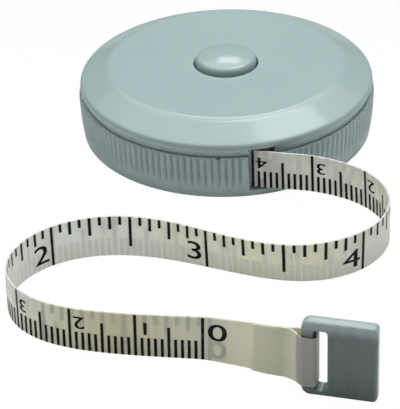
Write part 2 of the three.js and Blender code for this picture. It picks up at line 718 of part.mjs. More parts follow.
// Way of the tape in the tab's plan: behind the bar, through the slot, across the front, back to the tape
function loopWay() {
  const right = TAB_BAR_WIDTH + LOOP_SLOT_GAP + TAPE_THICKNESS / 2;
  const left = -LOOP_SLACK - TAPE_THICKNESS / 2;
  const behind = TAB_THICKNESS / 2 + LOOP_FACE_GAP + TAPE_THICKNESS / 2;
  const lapBehind = behind - TAPE_THICKNESS - LAP_GAP;
  const bends = [
    [right - LOOP_BEND, behind - LOOP_BEND, LOOP_BEND, 90, 0],
    [right - LOOP_BEND, LOOP_BEND - behind, LOOP_BEND, 0, -90],
    [left + LOOP_BEND, LOOP_BEND - behind, LOOP_BEND, -90, -180],
    [left - LAP_BEND, lapBehind - LAP_BEND, LAP_BEND, 0, 90],
  ];
  const way = [onTab(left, behind)];
  for (const [along, back, radius, from, to] of bends) {
    for (let i = 0; i <= BEND_STEPS; i += 1) {
      const spot = polar(radius, THREE.MathUtils.lerp(from, to, i / BEND_STEPS));
      way.push(onTab(along + spot.x, back + spot.y));
    }
  }
  return way;
}

function freeTape() {
  const start = leavePoint.clone().addScaledVector(pullDirection, TAPE_JOINT_GAP / 2);
  const middle = start.clone().lerp(mouthPoint, 0.5);
  const tail = [start, middle].map(({ x, y }) => [x, y, TAPE_HEIGHT_IN_CASE, 0]);
  const loop = loopWay().map(({ x, y }) => [x, y, LOOP_HEIGHT, 0]);
  const route = TAPE_ROUTE.map(([x, y, z, lean]) => [mouthPoint.x + x, mouthPoint.y + y, z, lean]);
  const [far, near] = route.slice(-2);
  const back = new THREE.Vector2(far[0] - near[0], far[1] - near[1]);
  const front = new THREE.Vector2(back.y, -back.x).setLength(-TAPE_THICKNESS - LAP_GAP);
  const lap = [0, 0.5, 1].map((share) => {
    const reach = share * LAP_LENGTH / back.length();
    const [x, y, z, lean] = near.map((value, i) => THREE.MathUtils.lerp(value, far[i], reach));
    return [x + front.x, y + front.y, z, -lean];
  });
  const points = [...tail, ...route, ...loop, ...lap];
  const curve = new THREE.CatmullRomCurve3(points.map(([x, y, z]) => new THREE.Vector3(x, y, z)));
  const path = [];
  points.slice(0, -1).forEach((point, i) => {
    const next = points[i + 1];
    const span = Math.hypot(next[0] - point[0], next[1] - point[1]);
    const steps = Math.max(1, Math.round(span / TAPE_STEP));
    for (let k = 0; k < steps; k += 1) {
      const share = k / steps;
      const spot = curve.getPoint((i + share) / (points.length - 1));
      const lean = THREE.MathUtils.degToRad(THREE.MathUtils.lerp(point[3], next[3], share));
      path.push({ x: spot.x, y: spot.y, z: spot.z, lean });
    }
  });
  const [x, y, z, lean] = points[points.length - 1];
  path.push({ x, y, z, lean: THREE.MathUtils.degToRad(lean) });
  return strip(path, TAPE_WIDTH, TAPE_THICKNESS);
}

// Pull tab: rounded plate with the bar that the tape goes round, and shallow grip flutes on both faces

// Corner radii are given from the lower left corner round
function roundedRectangle(Kind, left, bottom, right, top, [lowerLeft, lowerRight, upperRight, upperLeft]) {
  const outline = new Kind();
  outline.moveTo(left + lowerLeft, bottom);
  outline.lineTo(right - lowerRight, bottom);
  outline.absarc(right - lowerRight, bottom + lowerRight, lowerRight, -Math.PI / 2, 0);
  outline.lineTo(right, top - upperRight);
  outline.absarc(right - upperRight, top - upperRight, upperRight, 0, Math.PI / 2);
  outline.lineTo(left + upperLeft, top);
  outline.absarc(left + upperLeft, top - upperLeft, upperLeft, Math.PI / 2, Math.PI);
  outline.lineTo(left, bottom + lowerLeft);
  outline.absarc(left + lowerLeft, bottom + lowerLeft, lowerLeft, Math.PI, Math.PI * 1.5);
  return outline;
}

function endTab() {
  const tabSlotTop = TAB_SLOT_BOTTOM + TAPE_WIDTH + TAB_SLOT_ROOM;
  const tabHeight = tabSlotTop + TAB_TOP_BAR;
  const plate = roundedRectangle(
    THREE.Shape, 0, 0, TAB_WIDTH, tabHeight,
    [TAB_BAR_CORNER, TAB_FAR_CORNER, TAB_FAR_CORNER, TAB_BAR_CORNER],
  );
  plate.holes.push(roundedRectangle(
    THREE.Path, TAB_BAR_WIDTH, TAB_SLOT_BOTTOM, TAB_BAR_WIDTH + TAB_SLOT_WIDTH, tabSlotTop,
    [TAB_SLOT_LOWER_CORNER, TAB_SLOT_LOWER_CORNER, TAB_SLOT_UPPER_CORNER, TAB_SLOT_UPPER_CORNER],
  ));
  const flat = new THREE.ExtrudeGeometry(plate, {
    depth: TAB_THICKNESS - 2 * TAB_EDGE,
    bevelThickness: TAB_EDGE,
    bevelSize: TAB_EDGE,
    bevelOffset: -TAB_EDGE,
    bevelSegments: EDGE_STEPS,
    curveSegments: CORNER_STEPS,
  });
  flat.translate(0, 0, TAB_EDGE - TAB_THICKNESS / 2);
  let body = solid(flat.rotateX(Math.PI / 2));
  const gripLength = tabHeight + 2 * CUT_MARGIN;
  for (let i = 0; i < GRIP_COUNT; i += 1) {
    for (const face of [-1, 1]) {
      const flute = new THREE.CylinderGeometry(GRIP_RADIUS, GRIP_RADIUS, gripLength, SMALL_STEPS);
      flute.rotateX(Math.PI / 2);
      flute.translate(
        GRIP_START + i * GRIP_PITCH,
        face * (TAB_THICKNESS / 2 + GRIP_RADIUS - GRIP_DEPTH),
        tabHeight / 2,
      );
      body = body.subtract(solid(flute));
    }
  }
  return body;
}

// Assembly

const tapeMeasure = new THREE.Group();

function place(name, body, material, parent = tapeMeasure) {
  const mesh = new THREE.Mesh(geometryOf(body), material);
  mesh.name = name;
  parent.add(mesh);
}

place('bottom_case', bottomCase(), shellPlastic);
place('top_cover', topCover(), shellPlastic);
place('push_button', pushButton(), shellPlastic);
place('button_spring', buttonSpring(), springSteel);
place('brake_disc', brakeDisc(), reelPlastic);
place('brake_pad', brakePad(), padRubber);
place('reel_drum', reelDrum(), reelPlastic);
place('reel_cap', reelCap(), reelPlastic);
place('spring_cover', springCover(), reelPlastic);
place('power_spring', powerSpring(), springSteel);
place('wound_tape', woundTape(), coatedCloth);
place('free_tape', freeTape(), coatedCloth);

const tab = new THREE.Group();
tab.position.set(tabOrigin.x, tabOrigin.y, TAB_LIFT);
tab.rotation.z = tabTurn;
tapeMeasure.add(tab);
place('end_tab', endTab(), tabPlastic, tab);

export default tapeMeasure;
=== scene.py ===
# Pocket tape measure: a coated, printed tape on a spring reel in a round fluted case with a push button.
# Metres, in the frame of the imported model: the origin is under the middle of the case, -Y is the front.

import math

import bmesh
import bpy
from mathutils import Matrix, Vector


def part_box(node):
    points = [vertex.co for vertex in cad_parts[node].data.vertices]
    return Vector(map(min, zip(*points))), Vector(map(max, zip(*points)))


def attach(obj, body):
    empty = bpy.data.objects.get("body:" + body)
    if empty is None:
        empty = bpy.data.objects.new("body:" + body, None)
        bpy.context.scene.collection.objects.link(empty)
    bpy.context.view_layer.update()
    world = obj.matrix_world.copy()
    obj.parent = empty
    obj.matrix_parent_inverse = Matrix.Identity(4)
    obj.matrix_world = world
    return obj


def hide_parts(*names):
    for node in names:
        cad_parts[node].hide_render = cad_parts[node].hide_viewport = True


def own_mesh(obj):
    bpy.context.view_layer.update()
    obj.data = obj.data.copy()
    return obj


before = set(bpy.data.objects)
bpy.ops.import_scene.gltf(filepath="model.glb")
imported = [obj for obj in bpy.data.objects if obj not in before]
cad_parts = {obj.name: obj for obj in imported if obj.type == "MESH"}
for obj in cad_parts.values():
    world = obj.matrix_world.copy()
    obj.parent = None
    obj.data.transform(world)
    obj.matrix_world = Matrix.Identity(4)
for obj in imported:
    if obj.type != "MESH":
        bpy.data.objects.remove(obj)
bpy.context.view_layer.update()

# Bottom case: the lower shell, moulded in grey-green styrene with the centre post in one piece.
# Its wall tapers down to the base, and fine upright ribs round it give a grip: the flutes between them run
# out above the base, and the ribs end above in a narrow ledge under the lid.

mm = 0.001
case_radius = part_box("bottom_case")[1].x
base_radius = 24.8 * mm
base_edge = 0.4 * mm
wall_swell = 0.12 * mm
wall_step = 0.6 * mm
wall_rings = 11
cavity_radius = 23.7 * mm
floor_height = 0.9 * mm
ledge_height = 7.66 * mm
ledge_round = 0.38 * mm
flute_count = 138
flute_samples = 10
flute_deep = 0.5 * mm
flute_top = ledge_height - ledge_round
flute_top_run = 0.4 * mm
flute_top_share = 0.8
flute_bottom = 1.3 * mm
flute_run_out = 2.4 * mm
rib_azimuth = -89.2
rib_share = 0.2
flute_bow = 1.3
post_radius = 3.0 * mm
post_height = 7.4 * mm
slit_start = 0.9 * mm
slit_width = 1.0 * mm
slit_bottom = 2.0 * mm
pin_radius = 1.5 * mm
pin_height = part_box("bottom_case")[1].z
mouth_left, mouth_right = -82.0, -71.8
mouth_skew = 3.4
mouth_border = 2.2
mouth_sill = 1.2 * mm
mouth_top = 9.0 * mm
mouth_tape = Vector((4.05, -23.61)) * mm
wound_radius = 21.4 * mm
channel_width = 1.5 * mm
cut_margin = 1.0 * mm
gate_place = Vector((-1.43, -25.2, 7.62)) * mm
gate_radius = 0.3 * mm
gate_depth = 2.0 * mm


def turned(profile, steps, closed=False):
    """An outline of (radius, height) points spun round the case's axis."""
    bm = bmesh.new()
    points = [bm.verts.new((radius, 0, height)) for radius, height in profile]
    lines = [bm.edges.new(pair) for pair in zip(points, points[1:])]
    if closed:
        lines.append(bm.edges.new((points[-1], points[0])))
    bmesh.ops.spin(
        bm, geom=points + lines, cent=(0, 0, 0), axis=(0, 0, 1),
        angle=2 * math.pi, steps=steps, use_merge=True, use_duplicate=False,
    )
    bmesh.ops.remove_doubles(bm, verts=bm.verts, dist=1e-7)
    bmesh.ops.recalc_face_normals(bm, faces=bm.faces)
    return bm


def prism(bm, outline, bottom, top):
    """Adds an upright prism over a plan outline."""
    base = bm.faces.new([bm.verts.new((x, y, bottom)) for x, y in outline])
    raised = bmesh.ops.extrude_face_region(bm, geom=[base])["geom"]
    lifted = [v for v in raised if isinstance(v, bmesh.types.BMVert)]
    bmesh.ops.translate(bm, vec=(0, 0, top - bottom), verts=lifted)
    bmesh.ops.recalc_face_normals(bm, faces=bm.faces)


def polar(radius, degrees):
    angle = math.radians(degrees)
    return radius * math.cos(angle), radius * math.sin(angle)


def bar(length_from, length_to, width):
    """Plan outline of a bar along X."""
    return [(length_from, -width / 2), (length_to, -width / 2), (length_to, width / 2), (length_from, width / 2)]


def leave_angle():
    """Where the tape leaves the roll, on the tangent that goes through the mouth."""
    return math.atan2(mouth_tape.y, mouth_tape.x) - math.acos(wound_radius / mouth_tape.length)


def mouth_cutters():
    """The room of the tape through wall and lid: a slanting notch, and the channel behind it."""
    notch, channel = bmesh.new(), bmesh.new()
    outer = case_radius + cut_margin
    inner = cavity_radius - cut_margin
    prism(notch, [
        polar(outer, mouth_left - mouth_skew / 2),
        polar(outer, mouth_right),
        polar(inner, mouth_right),
        polar(inner, mouth_left + mouth_skew),
    ], mouth_sill, mouth_top)
    pull = Vector((-math.sin(leave_angle()), math.cos(leave_angle())))
    side = Vector((-pull.y, pull.x)) * channel_width / 2
    start = Vector(polar(wound_radius, math.degrees(leave_angle()))) + pull * channel_width
    end = mouth_tape + pull * channel_width
    prism(channel, [start - side, end - side, end + side, start + side], mouth_sill, mouth_top)
    return notch, channel


def cut(bm, *cutters):
    """The first shape without the others."""
    shapes = []
    for part in (bm, *cutters):
        mesh = bpy.data.meshes.new("shape")
        part.to_mesh(mesh)
        part.free()
        shape = bpy.data.objects.new("shape", mesh)
        bpy.context.scene.collection.objects.link(shape)
        shapes.append(shape)
    for cutter in shapes[1:]:
        boolean = shapes[0].modifiers.new("cut", "BOOLEAN")
        boolean.object = cutter
        boolean.operation = "DIFFERENCE"
        boolean.solver = "EXACT"
    result = bmesh.new()
    result.from_object(shapes[0], bpy.context.evaluated_depsgraph_get())
    for shape in shapes:
        bpy.data.meshes.remove(shape.data)
    return result


def add_piece(name, bm, material, body, slot, *nodes, crease=38):
    """Makes a finished piece of a mesh: shaded smooth up to the crease angle, riding on its body."""
    mesh = bpy.data.meshes.new(name)
    bm.to_mesh(mesh)
    bm.free()
    mesh.materials.append(material)
    mesh.shade_smooth()
    mesh.set_sharp_from_angle(angle=math.radians(crease))
    piece = bpy.data.objects.new(name, mesh)
    bpy.context.scene.collection.objects.link(piece)
    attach(piece, body)
    if nodes:
        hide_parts(*nodes)
    return piece


def moulded_plastic(name, light, dark, roughness, mottle_size, grain=0.02):
    """Injection-moulded plastic: nearly even colour, a soft mottle of gloss and a very fine grain."""
    material = bpy.data.materials.new(name)
    material.use_nodes = True
    nodes = material.node_tree.nodes
    link = material.node_tree.links.new
    shader = nodes["Principled BSDF"]
    place = nodes.new("ShaderNodeTexCoord")
    mottle = nodes.new("ShaderNodeTexNoise")
    mottle.inputs["Scale"].default_value = 1 / mottle_size
    mottle.inputs["Detail"].default_value = 3
    tone = nodes.new("ShaderNodeValToRGB")
    tone.color_ramp.elements[0].position = 0.35
    tone.color_ramp.elements[0].color = (*dark, 1)
    tone.color_ramp.elements[1].position = 0.65
    tone.color_ramp.elements[1].color = (*light, 1)
    gloss = nodes.new("ShaderNodeMapRange")
    gloss.inputs["To Min"].default_value = roughness - 0.05
    gloss.inputs["To Max"].default_value = roughness + 0.05
    speck = nodes.new("ShaderNodeTexNoise")
    speck.inputs["Scale"].default_value = 2500
    speck.inputs["Detail"].default_value = 2
    bump = nodes.new("ShaderNodeBump")
    bump.inputs["Strength"].default_value = grain
    bump.inputs["Distance"].default_value = 0.1 * mm
    link(place.outputs["Object"], mottle.inputs["Vector"])
    link(place.outputs["Object"], speck.inputs["Vector"])
    link(mottle.outputs["Fac"], tone.inputs["Fac"])
    link(tone.outputs["Color"], shader.inputs["Base Color"])
    link(speck.outputs["Fac"], gloss.inputs["Value"])
    link(gloss.outputs["Result"], shader.inputs["Roughness"])
    link(speck.outputs["Fac"], bump.inputs["Height"])
    link(bump.outputs["Normal"], shader.inputs["Normal"])
    return material


def wall_radius(height):
    share = (height - base_edge) / (flute_top - base_edge)
    return base_radius + (case_radius - base_radius) * share + 4 * wall_swell * share * (1 - share)


def eased(share):
    share = min(1, max(0, share))
    return share * share * (3 - 2 * share)


def flute_depth(point):
    """How far the wall is cut in at a point: not on a rib, below the flutes or near the mouth."""
    azimuth = math.degrees(math.atan2(point.y, point.x))
    if mouth_left - mouth_border < azimuth < mouth_right + mouth_border:
        return 0
    off_rib = 1 - abs((azimuth - rib_azimuth) * flute_count / 360 % 1 - 0.5) * 2
    flank = max(0, (off_rib - rib_share) / (1 - rib_share))
    run_out = eased((point.z - flute_bottom) / flute_run_out)
    fade = 1 - (1 - flute_top_share) * eased((point.z - flute_top) / flute_top_run + 1)
    floor = wall_radius(min(point.z, flute_top)) - flute_deep * run_out * fade
    return flank ** flute_bow * max(0, point.xy.length - floor)


wall_heights = [base_edge + i * wall_step for i in range(wall_rings)]
wall_heights += [flute_top - i * flute_top_run / 4 for i in (3, 2, 1)]
quarter = [math.radians(a) for a in (0, 22.5, 45, 67.5, 90)]
case_shape = turned(
    [(0, 0)]
    + [(base_radius - base_edge * (1 - math.sin(a)), base_edge * (1 - math.cos(a))) for a in quarter[:-1]]
    + [(min(case_radius, wall_radius(z)), z) for z in wall_heights]
    + [(case_radius - ledge_round * (1 - math.cos(a)), flute_top + ledge_round * math.sin(a)) for a in quarter]
    + [(case_radius - flute_deep, ledge_height), (cavity_radius, ledge_height), (cavity_radius, floor_height)]
    + [(post_radius, floor_height), (post_radius, post_height)]
    + [(pin_radius, post_height), (pin_radius, pin_height), (0, pin_height)],
    flute_count * flute_samples,
)
for vert in case_shape.verts:
    if vert.co.xy.length > cavity_radius + cut_margin and vert.co.z > flute_bottom:
        vert.co -= Vector((vert.co.x, vert.co.y, 0)).normalized() * flute_depth(vert.co)
gate_cut = bmesh.new()
bmesh.ops.create_cone(
    gate_cut, cap_ends=True, segments=16, radius1=gate_radius, radius2=gate_radius, depth=gate_depth,
    matrix=Matrix.Translation(gate_place) @ Matrix.Rotation(math.pi / 2, 4, "X"),
)
slit_cut = bmesh.new()
prism(slit_cut, bar(slit_start, post_radius + cut_margin, slit_width), slit_bottom, post_height + cut_margin)
shell_plastic = moulded_plastic("shell_plastic", (0.375, 0.492, 0.488), (0.36, 0.472, 0.47), 0.14, 18 * mm)
add_piece(
    "case_shell", cut(case_shape, *mouth_cutters(), gate_cut, slit_cut), shell_plastic,
    "case", "shell_plastic", "bottom_case",
)

# Reel and its return: drum with the wound tape, the power spring in its chamber, the spring's cover, the
# brake's cap. Moulded plastic and rolled spring steel, all inside the closed case, with a rubber brake ring.


def spring_steel_finish():
    """Rolled steel strip: fine streaks along the strip in colour and gloss."""
    material = bpy.data.materials.new("spring_steel")
    material.use_nodes = True
    nodes = material.node_tree.nodes
    link = material.node_tree.links.new
    shader = nodes["Principled BSDF"]
    shader.inputs["Metallic"].default_value = 1
    place = nodes.new("ShaderNodeTexCoord")
    stretch = nodes.new("ShaderNodeMapping")
    stretch.inputs["Scale"].default_value = (1, 1, 40)
    streak = nodes.new("ShaderNodeTexNoise")
    streak.inputs["Scale"].default_value = 300
    tone = nodes.new("ShaderNodeValToRGB")
    tone.color_ramp.elements[0].color = (0.36, 0.37, 0.38, 1)
    tone.color_ramp.elements[1].color = (0.55, 0.56, 0.57, 1)
    gloss = nodes.new("ShaderNodeMapRange")
    gloss.inputs["To Min"].default_value = 0.22
    gloss.inputs["To Max"].default_value = 0.38
    link(place.outputs["Object"], stretch.inputs["Vector"])
    link(stretch.outputs["Vector"], streak.inputs["Vector"])
    link(streak.outputs["Fac"], tone.inputs["Fac"])
    link(tone.outputs["Color"], shader.inputs["Base Color"])
    link(streak.outputs["Fac"], gloss.inputs["Value"])
    link(gloss.outputs["Result"], shader.inputs["Roughness"])
    return material


def finish_node(node, material):
    """Gives a solid of the frame its finish."""
    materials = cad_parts[node].data.materials
    materials.clear()
    materials.append(material)


reel_plastic = moulded_plastic("reel_plastic", (0.78, 0.78, 0.74), (0.74, 0.74, 0.70), 0.5, 9 * mm)
brake_rubber = moulded_plastic("brake_rubber", (0.028, 0.028, 0.028), (0.02, 0.02, 0.02), 0.85, 3 * mm, 0.2)
spring_steel = spring_steel_finish()
for node in ("reel_drum", "reel_cap", "spring_cover", "brake_disc"):
    finish_node(node, reel_plastic)
finish_node("brake_pad", brake_rubber)
finish_node("power_spring", spring_steel)

# Button spring: a small helix of round wire round the case's pin, which lifts the button and its brake.

wire_radius = 0.22 * mm
helix_radius = 2.6 * mm
helix_turns = 3.5
helix_steps = 84
spring_low, spring_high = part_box("button_spring")
helix_rise = spring_high.z - spring_low.z - 2 * wire_radius
spring_shape = bmesh.new()
wire = bmesh.ops.create_circle(
    spring_shape, cap_ends=True, segments=12, radius=wire_radius,
    matrix=Matrix.Translation((helix_radius, 0, spring_low.z + wire_radius)) @ Matrix.Rotation(math.pi / 2, 4, "X"),
)["verts"]
bmesh.ops.spin(
    spring_shape, geom=wire + list({e for v in wire for e in v.link_edges}) + list(spring_shape.faces),
    cent=(0, 0, 0), axis=(0, 0, 1), dvec=(0, 0, helix_rise / helix_steps),
    angle=2 * math.pi * helix_turns, steps=helix_steps, use_duplicate=False,
)
bmesh.ops.recalc_face_normals(spring_shape, faces=spring_shape.faces)
button_spring = add_piece("lift_spring", spring_shape, spring_steel, "case", "spring_steel", "button_spring")
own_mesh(button_spring)

# Lid: a shallow moulded dish snapped on the case, with a flat top, a wide bevel and a rolled rim over a short
# skirt that stands on the case's ledge. A spigot under it plugs into the case, and a collar with two notches
# guides the button's lugs.

lid_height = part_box("top_cover")[1].z
lid_underside = 10.9 * mm
plateau_radius = 20.1 * mm
plateau_round = 0.7 * mm
plateau_border = 1 * mm
bevel_start, bevel_end = 0.1, 0.82
rim_radius = 0.98 * mm
rim_inset = 0.25 * mm
rim_height = 9.14 * mm
rim_from, rim_to, rim_step = -56, 64, 8
seam_gap = 0.06 * mm
skirt_bottom = ledge_height + seam_gap
spigot_outer = 23.4 * mm
spigot_inner = 22.5 * mm
spigot_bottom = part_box("top_cover")[0].z
button_hole = 5.52 * mm
hole_round = 0.2 * mm
hole_land = 0.4 * mm
collar_inner, collar_outer = 6.7 * mm, 7.7 * mm
collar_bottom = 9.4 * mm
notch_width = 2.2 * mm
notch_bottom = 8.0 * mm
dish_corner = plateau_radius - 0.3 * mm
dish_edge = lid_underside - 1.1 * mm
lid_steps = 192


def round_ring(bm, radius, height, width, segments):
    """Rounds the sharp ring that a turned shape has at a radius and height."""
    def on_ring(vert):
        return abs(math.hypot(vert.co.x, vert.co.y) - radius) < 1e-6 and abs(vert.co.z - height) < 1e-6

    ring = [edge for edge in bm.edges if all(on_ring(vert) for vert in edge.verts)]
    bmesh.ops.bevel(
        bm, geom=ring, offset=width, offset_type="OFFSET", affect="EDGES",
        segments=segments, profile=0.5, material=-1,
    )


def rim(degrees):
    """A point of the rim's rounding, by its slope."""
    across, rise = polar(rim_radius, degrees)
    return case_radius - rim_inset - rim_radius + across, rim_height + rise


def on_bevel(share):
    """A point of the bevel, from the rim to the flat top."""
    radius, height = rim(rim_to)
    return radius + (plateau_radius - radius) * share, height + (lid_height - height) * share


lid_shape = turned([
    (spigot_outer, spigot_bottom),
    (spigot_outer, skirt_bottom),
    (rim(rim_from)[0], skirt_bottom),
] + [rim(degrees) for degrees in range(rim_from, rim_to + 1, rim_step)] + [
    on_bevel(bevel_start),
    on_bevel(bevel_end),
    (plateau_radius, lid_height),
    (plateau_radius - plateau_border, lid_height),
    (button_hole + hole_land, lid_height),
    (button_hole, lid_height),
    (button_hole, lid_underside),
    (collar_inner, lid_underside),
    (collar_inner, collar_bottom),
    (collar_outer, collar_bottom),
    (collar_outer, lid_underside),
    (dish_corner, lid_underside),
    (spigot_inner, dish_edge),
    (spigot_inner, spigot_bottom),
], lid_steps, closed=True)
round_ring(lid_shape, plateau_radius, lid_height, plateau_round, 8)
round_ring(lid_shape, button_hole, lid_height, hole_round, 4)
lug_cut = bmesh.new()
notch_reach = collar_outer + cut_margin / 2
prism(lug_cut, bar(-notch_reach, notch_reach, notch_width), notch_bottom, lid_underside)
add_piece(
    "lid_shell", cut(lid_shape, *mouth_cutters(), lug_cut), shell_plastic,
    "case", "shell_plastic", "top_cover",
)

# Push button: a domed cap in the lid's hole, with a flange and two lugs under the lid and a tube that clips
# through the brake disc. Pressing it frees the reel.

button_radius = 5.25 * mm
button_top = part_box("push_button")[1].z
dome_radius = 20 * mm
shoulder_radius = 1.0 * mm
button_draft = math.radians(4)
button_ceiling = 12.0 * mm
flange_radius = 6.4 * mm
flange_bottom, flange_top = 9.9 * mm, 10.6 * mm
foot_radius = 5.8 * mm
foot_bottom = 9.3 * mm
lug_width = 1.6 * mm
lug_root = flange_radius * 0.9
lug_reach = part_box("push_button")[1].x
tube_inner, tube_outer = 3.5 * mm, 4.1 * mm
clip_radius = 4.6 * mm
clip_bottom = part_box("push_button")[0].z
clip_rise = 0.35 * mm
dome_steps = 12
button_steps = 96


def button_outline():
    """Up the button's leaning side from the lid's face, round its shoulder and over the shallow dome."""
    foot = Vector((button_radius, lid_height))
    side_up = Vector((-math.sin(button_draft), math.cos(button_draft)))
    inside = foot - Vector((math.cos(button_draft), math.sin(button_draft))) * shoulder_radius
    dome_middle = Vector((0, button_top - dome_radius))
    along = (inside - dome_middle).dot(side_up)
    reach = dome_radius - shoulder_radius
    climb = math.sqrt(along ** 2 - (inside - dome_middle).length_squared + reach ** 2) - along
    middle = inside + side_up * climb
    dome_angle = math.atan2(middle.x, middle.y - dome_middle.y)
    points = [foot]
    for i in range(dome_steps + 1):
        tilt = math.pi / 2 - button_draft + (dome_angle - math.pi / 2 + button_draft) * i / dome_steps
        points.append(middle + Vector((math.sin(tilt), math.cos(tilt))) * shoulder_radius)
    for i in range(dome_steps - 1, -1, -1):
        tilt = dome_angle * i / dome_steps
        points.append(dome_middle + Vector((math.sin(tilt), math.cos(tilt))) * dome_radius)
    return points


button_shape = turned([
    (0, button_ceiling),
    (tube_inner, button_ceiling),
    (tube_inner, clip_bottom),
    (clip_radius, clip_bottom),
    (tube_outer, clip_bottom + clip_rise),
    (tube_outer, foot_bottom),
    (foot_radius, foot_bottom),
    (flange_radius, flange_bottom),
    (flange_radius, flange_top),
    (button_radius, flange_top),
] + button_outline(), button_steps)
for side in (-1, 1):
    prism(button_shape, bar(side * lug_root, side * lug_reach, lug_width), flange_bottom, flange_top)
add_piece("button_cap", button_shape, shell_plastic, "button", "shell_plastic", "push_button")

# Tape: cloth coated white and printed black on both faces, 7 mm wide. It leaves the roll through the mouth,
# lies on edge in an open S on the table, and its end is looped round the tab's bar and welded back on itself,
# pressed a little wider there.

tape_width = 7.0 * mm
tape_thickness = 0.25 * mm
tape_in_case = 1.5 * mm
roll_clearance = 0.015
tape_step = 0.5 * mm

# Lower edge from the mouth to the tab: x, y, height above the table, lean in degrees to the left of the way
tape_route = [
    (4.05, -23.61, 1.5, -2.0),
    (8.91, -24.77, 1.6, -3.4),
    (13.76, -25.98, 1.7, -3.7),
    (18.36, -27.9, 1.6, -4.1),
    (22.27, -30.99, 1.5, -3.1),
    (24.81, -35.25, 1.34, -1.5),
    (25.39, -40.18, 1.17, 0.0),
    (23.79, -44.88, 1.01, 1.0),
    (20.39, -48.49, 0.83, 1.4),
    (15.84, -50.49, 0.62, 2.4),
    (10.87, -50.77, 0.45, 5.2),
    (5.98, -49.77, 0.4, 6.7),
    (1.28, -48.08, 0.4, 6.2),
    (-3.33, -46.12, 0.4, 3.9),
    (-7.96, -44.26, 0.4, 0.5),
    (-12.75, -42.83, 0.4, -2.2),
    (-17.7, -42.18, 0.4, -3.1),
    (-22.66, -42.67, 0.4, -2.5),
    (-27.27, -44.56, 0.4, -1.0),
    (-31.01, -47.85, 0.4, -0.5),
    (-33.33, -52.24, 0.4, 0.0),
    (-33.68, -57.19, 0.4, 0.0),
    (-31.82, -61.78, 0.4, 0.3),
    (-28.26, -65.26, 0.4, 0.5),
    (-23.8, -67.49, 0.4, 1.5),
    (-19.0, -68.86, 0.4, 2.6),
    (-14.08, -69.77, 0.4, 3.3),
    (-9.13, -70.46, 0.4, 4.2),
    (-4.0, -71.18, 0.4, 6.0),
    (-0.87, -72.19, 0.4, 6.5),
    (2.34, -73.82, 0.7, 7.0),
    (5.52, -75.75, 1.05, 7.5),
    (8.1, -76.71, 1.1, 7.0),
]
zero_line = (-3.77, -71.31)

# The tab's own directions, as the loop goes round its bar
tab_corner = Vector((10.04, -79.97)) * mm
tab_turn = math.radians(-14.57)
tab_thickness = 2.3 * mm
tab_bar = 1.8 * mm
tab_along = Vector((math.cos(tab_turn), math.sin(tab_turn)))
tab_back = Vector((-math.sin(tab_turn), math.cos(tab_turn)))
tab_origin = tab_corner + tab_back * tab_thickness / 2
loop_height = 1.9 * mm
loop_gap = 0.06 * mm
slot_gap = 0.3 * mm
loop_right = tab_bar + slot_gap + tape_thickness / 2
loop_left = -0.55 * mm
loop_behind = tab_thickness / 2 + loop_gap + tape_thickness / 2
slot_bend = 0.45 * mm
front_bend = 1.0 * mm
front_turn = 48
weld_spread = 0.18
lap_share = 0.7
lap_offset = tape_thickness + loop_gap
bend_steps = 6


def loop_spots():
    """The tape's way round the tab's bar in plan: behind it, through the slot, over the front and away."""
    spots = [(loop_left, loop_behind)]
    for along, back, radius, start, end in (
        (loop_right - slot_bend, loop_behind - slot_bend, slot_bend, 90, 0),
        (loop_right - slot_bend, slot_bend - loop_behind, slot_bend, 0, -90),
        (front_bend / 2, front_bend - loop_behind, front_bend, -90, -90 - front_turn),
    ):
        for i in range(bend_steps + 1):
            x, y = polar(radius, start + (end - start) * i / bend_steps)
            spots.append((along + x, back + y))
    along, back = spots[-1]
    spots.append((loop_left, back + (along - loop_left) * math.tan(math.radians(front_turn))))
    return [tab_origin + tab_along * along + tab_back * back for along, back in spots]


def tape_points():
    """The whole way of the tape as (place of the lower edge, lean)."""
    start = Vector(polar(wound_radius, math.degrees(leave_angle()))).lerp(mouth_tape, roll_clearance)
    points = [(Vector((*start.lerp(mouth_tape, share), tape_in_case)), 0) for share in (0, 0.5)]
    points += [(Vector((x, y, z)) * mm, math.radians(lean)) for x, y, z, lean in tape_route]
    points += [(Vector((*spot, loop_height)), 0) for spot in loop_spots()]
    lap = [(Vector((x, y, z)) * mm, lean) for x, y, z, lean in tape_route[:-4:-1]]
    lap[2] = lap[1][0].lerp(lap[2][0], lap_share), lap[2][1]
    for i, (place, lean) in enumerate(lap):
        back = lap[min(i + 1, 2)][0] - lap[max(i - 1, 0)][0]
        front = Vector((-back.y, back.x, 0)).normalized() * lap_offset
        points.append((place + front, -math.radians(lean)))
    return points


def smooth_way(points, step):
    """A smooth curve through the points, sampled about every step."""
    places = [place for place, lean in points]
    ends = [places[0] * 2 - places[1]] + places + [places[-1] * 2 - places[-2]]
    way = []
    for i, (place, lean) in enumerate(points[:-1]):
        before, here, there, after = ends[i:i + 4]
        count = max(1, round((there - here).length / step))
        for k in range(count):
            t = k / count
            pull = (there - before) * t + (before * 2 - here * 5 + there * 4 - after) * t ** 2
            pull += (here * 3 - before - there * 3 + after) * t ** 3
            way.append((here + pull / 2, lean + (points[i + 1][1] - lean) * t))
    way.append(points[-1])
    return way


tape_way = smooth_way(tape_points(), tape_step)


def way_frames(way):
    """For each point of a way: place, direction to the left, direction up the tape's face, distance."""
    frames = []
    distance = 0
    for i, (place, lean) in enumerate(way):
        before, after = way[max(i - 1, 0)][0], way[min(i + 1, len(way) - 1)][0]
        along = (after - before).xy.normalized()
        left = Vector((-along.y, along.x, 0))
        rise = left * math.sin(lean) + Vector((0, 0, math.cos(lean)))
        distance += (place - way[i - 1][0]).length if i else 0
        frames.append((place, left, rise, distance))
    return frames


